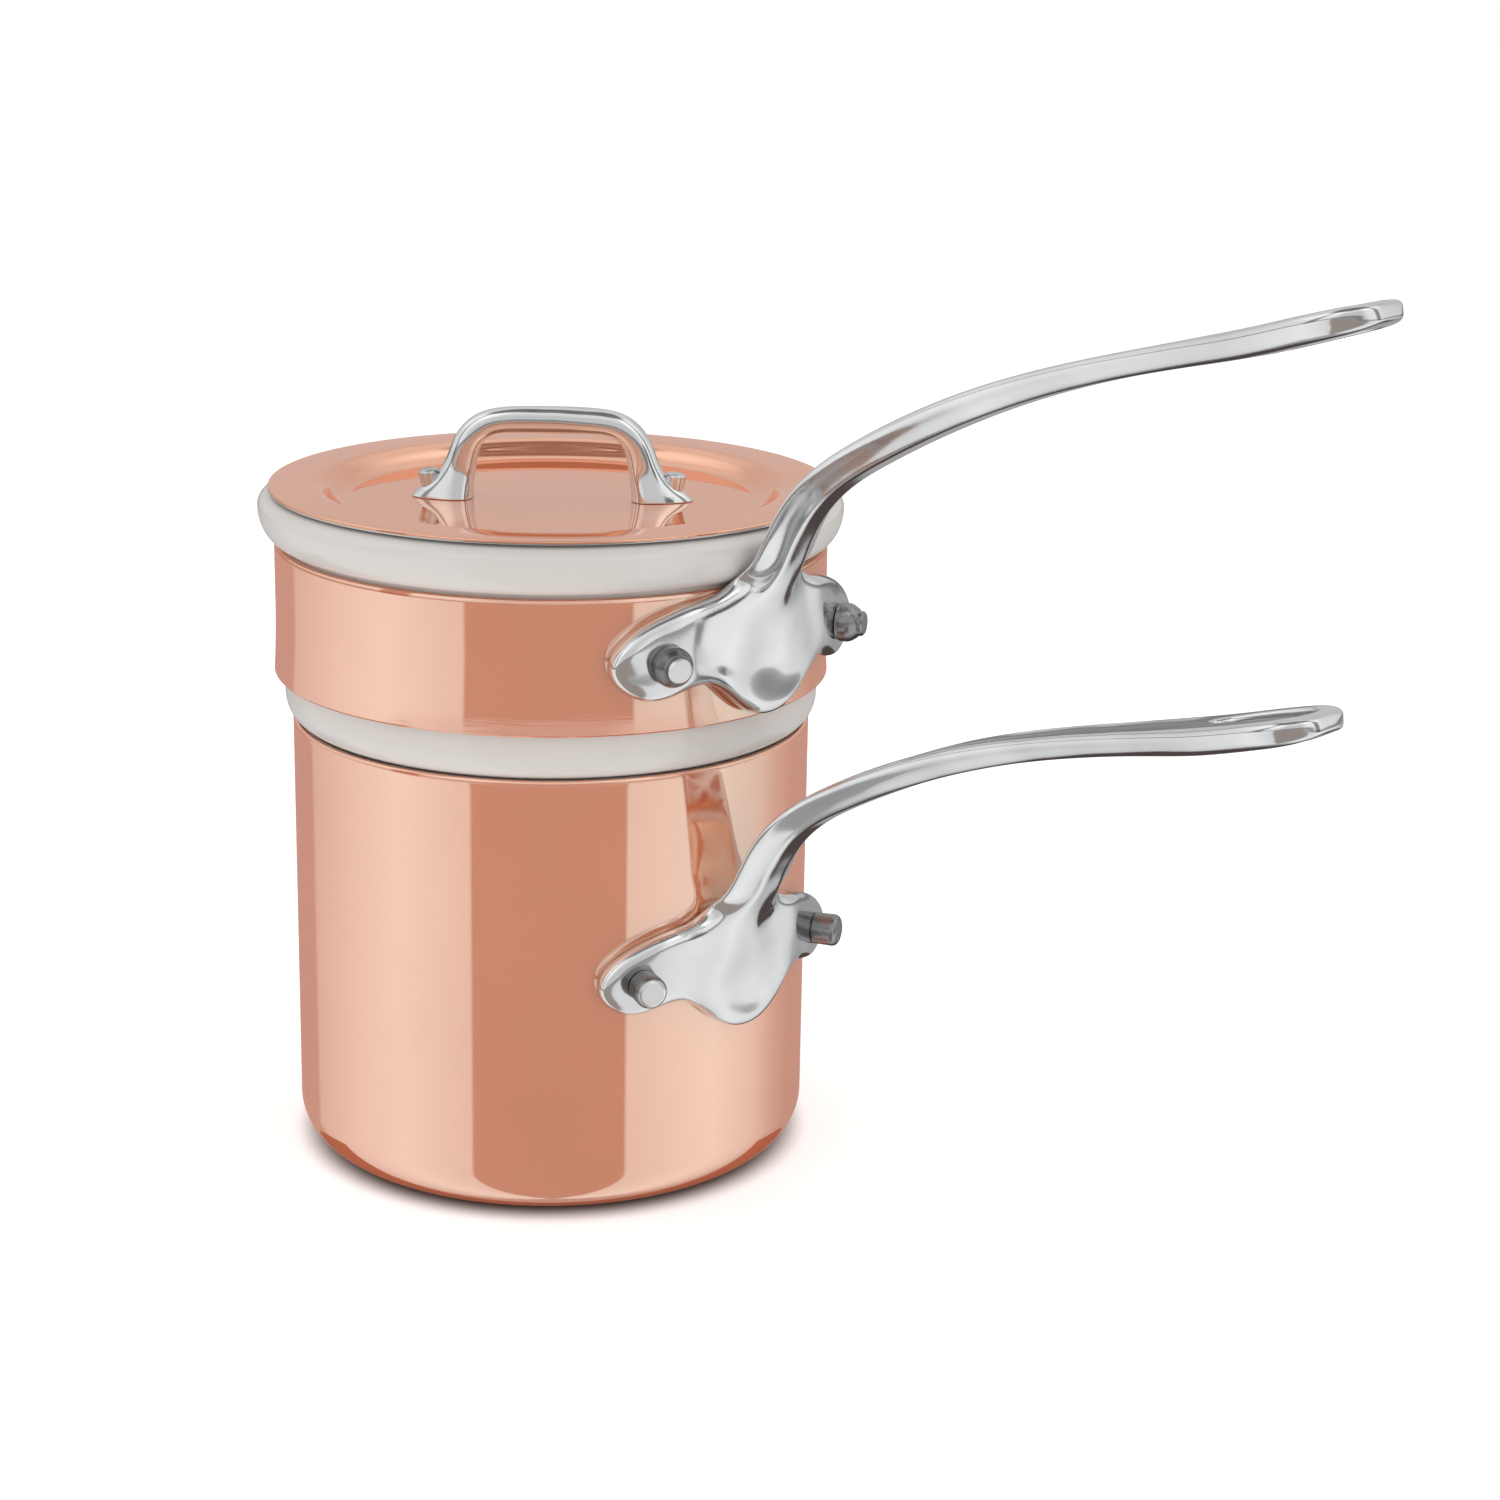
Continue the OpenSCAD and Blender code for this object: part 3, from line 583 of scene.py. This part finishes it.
class Casting:
    """Places the points of a cast handle's block: its bracket on a wall, its neck, strap and eye."""

    def __init__(self, wall_r, rivet_z, ear_end, ear_drop, top_h, turn, tilt):
        self.wall_r = wall_r
        self.rivet_z = rivet_z
        self.reach = RIVET_S + ear_end
        self.ear_drop = ear_drop
        self.top_h = top_h
        self.turn = Matrix.Rotation(math.radians(turn), 3, "Z")
        self.tilt = Matrix.Rotation(-math.radians(tilt), 3, "Y")

    def column_s(self, column):
        along = abs(column)
        if along <= NECK_COLUMNS:
            s = along * NECK_S / NECK_COLUMNS
        else:
            ear = (along - NECK_COLUMNS - 1) / EAR_COLUMNS
            s = FILLET_S + (self.reach * EAR_CORNER - FILLET_S) * ear
        return math.copysign(s, column)

    def top(self, s):
        fillet = FILLET_H * max(0.0, min(1.0, (FILLET_END - abs(s)) / FILLET_RUN)) ** 2
        return EAR_MID + fillet + (self.top_h - EAR_MID) * round_off(s, self.reach, 0)

    def bottom(self, s):
        if abs(s) < NOTCH_S:
            return -LOBE_DROP + (LOBE_DROP - NOTCH_DROP) * ease((abs(s) / NOTCH_S) ** LOBE_FULLNESS)
        drop = NOTCH_DROP + EAR_MID + (self.ear_drop - NOTCH_DROP) * ease((abs(s) - NOTCH_S) / NOTCH_RUN)
        return EAR_MID - round_off(s, self.reach, RIVET_S) * drop

    def on_wall(self, s, off, height):
        angle = s / (self.wall_r + BRACKET_T / 2)
        radius = self.wall_r + off
        return self.turn @ Vector((radius * math.cos(angle), radius * math.sin(angle), height + self.rivet_z))

    def bracket_point(self, column, row, depth):
        s = self.column_s(column)
        low, high = self.bottom(s), self.top(s)
        up = row / ROWS
        # The powers of far keep a change to the end of the ear
        far = abs(s) / self.reach
        edge = min(EDGE_ROUND * (1 - EDGE_ROUND_LOSS * far ** 8), (high - low) * EDGE_ROUND_MOST)
        inset = EDGE_INSETS[depth] * edge
        # Past the rivet the ear's face runs on straight instead of following the wall
        past = max(0.0, abs(s) - RIVET_S) / (self.wall_r + BRACKET_T / 2)
        thick = BRACKET_T * (1 - EAR_THINNING * far ** 6)
        thick += (self.wall_r + BRACKET_T) * (1 / math.cos(past) - 1)
        # The last two columns bulge outwards between the rows' ends, which makes the ear's end round
        bulge = max(0, abs(column) - HALF_COLUMNS + 2) ** 2 / 4 * (1 - (2 * up - 1) ** 2)
        s = math.copysign(abs(s) + self.reach * (1 - EAR_CORNER) * bulge - inset * far ** 5, s)
        height = low + inset + (high - low - 2 * inset) * up
        if abs(column) <= NECK_COLUMNS:
            s *= 1 - NECK_TAPER[depth] * up ** 2
            if depth == DEPTH:
                height = low + inset + (NECK_FRONT_TOPS[abs(column)] - low - inset) * up
        return self.on_wall(s, max(WALL_GAP, thick * DEPTH_SHARES[depth]), height)

    def strap_point(self, column, layer, depth):
        x, z, half_top, half_low, thick = STRAP[layer - 1]
        x0, z0 = STRAP[max(0, layer - 2)][:2]
        x1, z1 = STRAP[min(len(STRAP) - 1, layer)][:2]
        size = math.hypot(x1 - x0, z1 - z0)
        run, rise = (x1 - x0) / size, (z1 - z0) / size
        top_share, low_share, level = STRAP_SECTION[depth]
        across = (top_share * half_top + low_share * half_low) * column / NECK_COLUMNS
        up = level * thick / 2
        shift = 0.0
        on_skin = depth in (0, DEPTH)
        if abs(column) < NECK_COLUMNS:
            if on_skin and layer in EYE_SIDES and column:
                half, shift = EYE_SIDES[layer]
                across = math.copysign(half, column)
            elif on_skin and layer in EYE_ENDS:
                shift = EYE_ENDS[layer]
            elif not on_skin and layer == len(STRAP):
                shift = STRAP_TIP
        flat = Vector((self.wall_r + x + run * shift - rise * up, across, z + rise * shift + run * up))
        return self.turn @ (self.tilt @ flat + Vector((0, 0, self.rivet_z)))

    def __call__(self, column, row, depth):
        if row > ROWS:
            return self.strap_point(column, row - ROWS, depth)
        return self.bracket_point(column, row, depth)


def cast_handle(name, casting):
    """A handle in one piece: the strap is pulled out of the bracket's top, and the eye is cut through it."""
    block = start_block(name, 2 * HALF_COLUMNS, ROWS, DEPTH)
    select_parts(block, "FACE", lambda x, y, z: abs(x) < NECK_COLUMNS and near(y, ROWS))
    pull(len(STRAP), (0, 1, 0))
    first, last = ROWS + EYE_FIRST, ROWS + EYE_LAST

    def on_skin(z):
        return near(z, 0) or near(z, DEPTH)

    def in_eye(x, y, z):
        return on_skin(z) and abs(x) < 1 and first < y < last

    def on_eye_rim(x, y, z):
        on_side = near(abs(x), 1) and first < y < last
        on_end = abs(x) < 1 and (near(y, first) or near(y, last))
        return on_skin(z) and (on_side or on_end)

    def on_strap_edge(x, y, z):
        return on_skin(z) and near(abs(x), NECK_COLUMNS) and y > ROWS + STRAP_CREASE_FROM

    select_parts(block, "FACE", in_eye)
    bpy.ops.mesh.delete(type="FACE")
    select_parts(block, "EDGE", on_eye_rim)
    bpy.ops.mesh.bridge_edge_loops()
    crease(block, EYE_CREASE, on_eye_rim)
    crease(block, STRAP_CREASE, on_strap_edge)
    cast(block, casting)
    return block


def loop_point(column, row, depth):
    """Place of a point of the loop's block, whose depth runs from the bar's inner edge to its outer one."""
    out_x, out_z, in_x, in_z, half, leaf = LOOP[min(row, LOOP_ROWS - row)]
    side = -1 if row < len(LOOP) else 1
    corner = LOOP_CORNER if column and depth != 1 else 1.0
    share = (depth - 1) * corner
    x = (out_x + in_x) / 2 + (out_x - in_x) / 2 * share
    z = (out_z + in_z) / 2 + (out_z - in_z) / 2 * share
    flat = Vector((side * x, column * corner * half * (1 - leaf * share), z + DISC_Z + LOOP_LIFT))
    return Matrix.Rotation(LOOP_TURN, 3, "Z") @ flat


def cast_loop(name):
    block = start_block(name, 2, LOOP_ROWS, 2)

    def on_foot_edge(x, y, z):
        on_foot = near(y, 0) or near(y, LOOP_ROWS)
        return on_foot and (near(abs(x), 1) or near(z, 0) or near(z, 2))

    crease(block, 1.0, on_foot_edge)
    cast(block, loop_point)
    return block


# Copper sheets, turned from their sections. A section is a list of points of radius and height.


def arc(centre_r, centre_z, radius, start, end, steps):
    angles = [math.radians(start + (end - start) * i / steps) for i in range(steps + 1)]
    return [(centre_r + radius * math.cos(a), centre_z + radius * math.sin(a)) for a in angles]


def pot_line(inset):
    """Line of the pot from the middle of its base up to its lip, drawn in by inset from the outside."""
    base = [(ring, inset) for ring in BASE_RINGS]
    corner = arc(POT_R - POT_CORNER, POT_CORNER, POT_CORNER - inset, -90, 0, CORNER_STEPS)
    # A ring close to each end of the wall keeps its shading even between them
    wall = [(POT_R - inset, POT_CORNER + 1), (POT_R - inset, POT_H - 2)]
    return base + corner + wall


def pot_section():
    half = POT_SHEET / 2
    lip = arc(POT_R - half, POT_H - half, half, 0, 180, LIP_STEPS)
    return pot_line(0) + lip + pot_line(POT_SHEET)[::-1]


def band_section():
    inner = BAND_R - BAND_SHEET
    bevel_r, bevel_h = BAND_FOOT_BEVEL
    foot = [(inner + BAND_FLARE, BAND_Z), (BAND_FOOT_R - bevel_r, BAND_Z)]
    shares = [step / FLARE_STEPS for step in range(FLARE_STEPS + 1)]
    flare = [(BAND_R + BAND_FLARE * (1 - up) ** 2, BAND_Z + bevel_h + BAND_FLARE_H * up) for up in shares]
    lip = [(BAND_R - inwards, BAND_TOP - down) for inwards, down in BAND_LIP]
    inside = [(inner, BAND_TOP), (inner, BAND_Z + BAND_INNER_FLARE_H)]
    return foot + flare + lip + inside


def lid_line(inset):
    """Line of the lid from its middle over its step to its rim, drawn in by inset from the upper side."""
    swing = 2 * math.degrees(math.atan(STEP_H / STEP_RUN))
    radius = STEP_RUN / (2 * math.sin(math.radians(swing)))
    disc = [(ring, DISC_Z - inset) for ring in DISC_RINGS]
    hollow = arc(STEP_R - STEP_RUN, DISC_Z + radius, radius + inset, -90, -90 + swing, STEP_STEPS)
    crown = arc(STEP_R, LID_TOP - radius, radius - inset, 90 + swing, 90, STEP_STEPS)
    return disc + hollow + crown[1:]


def lid_section():
    edge = arc(LID_R - LID_EDGE_R, LID_TOP - LID_EDGE_R, LID_EDGE_R, 90, 0, LID_EDGE_STEPS)
    rim = [(RIM_RING, LID_TOP)] + edge + [(LID_R, LID_TOP - LID_SHEET)]
    return lid_line(0) + rim + lid_line(LID_SHEET)[::-1]


def turned(name, section):
    """A closed section in the XZ plane, turned round Z."""
    deselect_all()
    bpy.ops.mesh.primitive_circle_add(vertices=len(section), radius=1.0, location=(0, 0, 0))
    piece = bpy.context.active_object
    piece.name = name
    for point, (radius, height) in zip(piece.data.vertices, section):
        point.co = Vector((radius, 0, height)) * MM
    bpy.ops.object.mode_set(mode="EDIT")
    bpy.ops.mesh.select_all(action="SELECT")
    bpy.ops.mesh.spin(steps=TURN_STEPS, angle=2 * math.pi, center=(0, 0, 0), axis=(0, 0, 1))
    bpy.ops.mesh.select_all(action="SELECT")
    bpy.ops.mesh.remove_doubles(threshold=MERGE_GAP * MM)
    bpy.ops.mesh.normals_make_consistent(inside=False)
    bpy.ops.object.mode_set(mode="OBJECT")
    bpy.ops.object.shade_smooth_by_angle(angle=SHARP_ANGLE)
    return piece


def lay_floor():
    deselect_all()
    bpy.ops.mesh.primitive_plane_add(size=FLOOR_SPAN * MM, location=(0, 0, 0))
    floor = bpy.context.active_object
    floor.name = "pale_floor"
    finish, graph = new_finish("pale_floor_paint")
    place = graph.place()
    cloud = graph.noise(place, scale=3.0, detail=2.0)
    pale = graph.mix(cloud, FLOOR_PALE, FLOOR_DIM)
    # Painted contact shadow: close round the pot the floor darkens and its glow fades out
    in_open = graph.eased(graph.from_axis(place), SHADE_FROM_R * MM, SHADE_TO_R * MM)
    paint = graph.add("ShaderNodeBsdfDiffuse", {}, {"Color": graph.mix(in_open, SHADE_TONE, pale)})
    glow = graph.add("ShaderNodeEmission", {}, {"Color": graph.mix(in_open, BLACK, FLOOR_GLOW)})
    graph.close(graph.add("ShaderNodeAddShader", {}, {0: paint, 1: glow}))
    floor.data.materials.append(finish)
    floor.visible_glossy = False


def build_room():
    world = bpy.data.worlds.new("studio_room")
    bpy.context.scene.world = world
    world.use_nodes = True
    graph = Graph(world.node_tree)
    way = graph.add("ShaderNodeTexCoord", {}, {}, "Generated")
    towards_camera = math.atan2(CAMERA_PLACE.y, CAMERA_PLACE.x)
    # After this turn the camera lies towards -X
    way = graph.add("ShaderNodeVectorRotate", {"rotation_type": "Z_AXIS"},
                    {"Vector": way, "Angle": math.pi - towards_camera})
    x, y, z = graph.axes(way)
    angle = graph.maths("ARCTAN2", -1 * y, -1 * x) / (2 * math.pi) + 0.5
    low_walls = graph.ramp(angle, [(0.5 + degrees / 360, tone) for degrees, tone in LOW_WALLS])
    high_walls = graph.ramp(angle, [(0.5 + degrees / 360, tone) for degrees, tone in HIGH_WALLS])
    level = graph.ramp(z * 0.5 + 0.5, [(0.5 + height / 2, tone) for height, tone in LEVELS])
    walls = graph.mix(1.0, graph.mix(z > FRONT_TOP, low_walls, high_walls), level, "MULTIPLY")
    under = (z < UNDER_TOP) * (x > UNDER_FAR)
    reflected = graph.add("ShaderNodeBackground", {}, {"Color": graph.mix(under, walls, UNDER_TONE)})
    backdrop = graph.add("ShaderNodeBackground", {}, {"Color": WHITE})
    seen = graph.add("ShaderNodeLightPath", {}, {}, "Is Camera Ray")
    graph.add("ShaderNodeOutputWorld", {}, {"Surface": graph.mix_shaders(seen, reflected, backdrop)})


def hang_ceiling_lamp():
    lamp = bpy.data.lights.new("ceiling_box", "AREA")
    lamp.energy = LAMP_POWER
    lamp.size = LAMP_SPAN * MM
    holder = bpy.data.objects.new("ceiling_box", lamp)
    holder.location = (0, 0, LAMP_HEIGHT * MM)
    holder.visible_glossy = False
    bpy.context.collection.objects.link(holder)


def set_camera():
    camera = bpy.data.cameras.new("photo_camera")
    camera.lens = CAMERA_LENS
    camera.sensor_width = SENSOR
    camera.sensor_fit = "HORIZONTAL"
    camera.clip_end = CLIP_END
    holder = bpy.data.objects.new("photo_camera", camera)
    turn = (Matrix.Rotation(CAMERA_HEADING, 4, "Z")
            @ Matrix.Rotation(math.pi / 2 - CAMERA_DIP, 4, "X")
            @ Matrix.Rotation(CAMERA_ROLL, 4, "Z"))
    holder.matrix_world = Matrix.Translation(CAMERA_PLACE) @ turn
    bpy.context.collection.objects.link(holder)
    bpy.context.scene.camera = holder


def take_over(piece, body, node):
    """Puts a modelled piece in its CAD node's place, in the node's finish."""
    piece.data.materials.append(nodes[node].data.materials[0])
    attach(piece, body)
    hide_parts(node)


# Finishes, and the CAD nodes that wear them
wall_copper = polished_copper("polished_copper_wall", WALL_LINES, POLISH_SHARE, POLISH, POLISH_DIM)
lid_copper = polished_copper("polished_copper_lid", LID_LINES, LID_POLISH_SHARE, LID_POLISH, LID_POLISH_DIM)
cast_steel = cast_metal("polished_cast_steel", CAST_STEEL, CAST_STEEL_DARK, gloss=0.12, pits=0.03)
lower_rivet_steel = rivet_metal("lower_rivet_steel", LOWER_RIVET_END_R)
upper_rivet_steel = rivet_metal("upper_rivet_steel", UPPER_RIVET_END_R)
# Same steel as the left rivets, made much darker with painted shade
right_rivet_painted_shade = cast_metal(
    "right_rivet_steel_painted_shade", RIGHT_RIVET_PAINTED_SHADE, RIGHT_RIVET_PAINTED_SHADE_DARK, gloss=0.24, pits=0.30)
lid_rivet_steel = cast_metal("lid_rivet_steel", LID_RIVET_STEEL, LID_RIVET_STEEL_DARK, gloss=0.20, pits=0.15)
lining = satin_lining("satin_steel_lining")
glaze = white_glaze("white_porcelain_glaze")

finishes = {
    "lower_pot": wall_copper,
    "handle_band": wall_copper,
    "lid_shell": lid_copper,
    "pot_lining": lining,
    "lid_lining": lining,
    "porcelain_insert": glaze,
    "lower_handle": cast_steel,
    "upper_handle": cast_steel,
    "lid_handle": cast_steel,
    "lower_rivet_left": lower_rivet_steel,
    "lower_rivet_right": right_rivet_painted_shade,
    "upper_rivet_left": upper_rivet_steel,
    "upper_rivet_right": right_rivet_painted_shade,
    "lid_rivet_left": lid_rivet_steel,
    "lid_rivet_right": lid_rivet_steel,
}
for node, finish in finishes.items():
    dress(node, finish)

# Modelled pieces, each on its body and in the place of its CAD node
take_over(turned("lower_pot_sheet", pot_section()), "lower_pan", "lower_pot")
take_over(turned("band_sheet", band_section()), "upper_pan", "handle_band")
take_over(turned("lid_sheet", lid_section()), "lid", "lid_shell")

lower_casting = Casting(POT_R, POT_RIVET_Z, ear_end=10.0, ear_drop=8.2, top_h=13.0, turn=0, tilt=0)
upper_casting = Casting(BAND_R, BAND_RIVET_Z, ear_end=13.0, ear_drop=9.2, top_h=14.4, turn=1.9, tilt=0.85)
take_over(cast_handle("lower_cast_handle", lower_casting), "lower_pan", "lower_handle")
take_over(cast_handle("upper_cast_handle", upper_casting), "upper_pan", "upper_handle")
take_over(cast_loop("lid_loop_casting"), "lid", "lid_handle")

# Studio
lay_floor()
build_room()
hang_ceiling_lamp()
set_camera()
bpy.context.scene.view_settings.view_transform = "Standard"
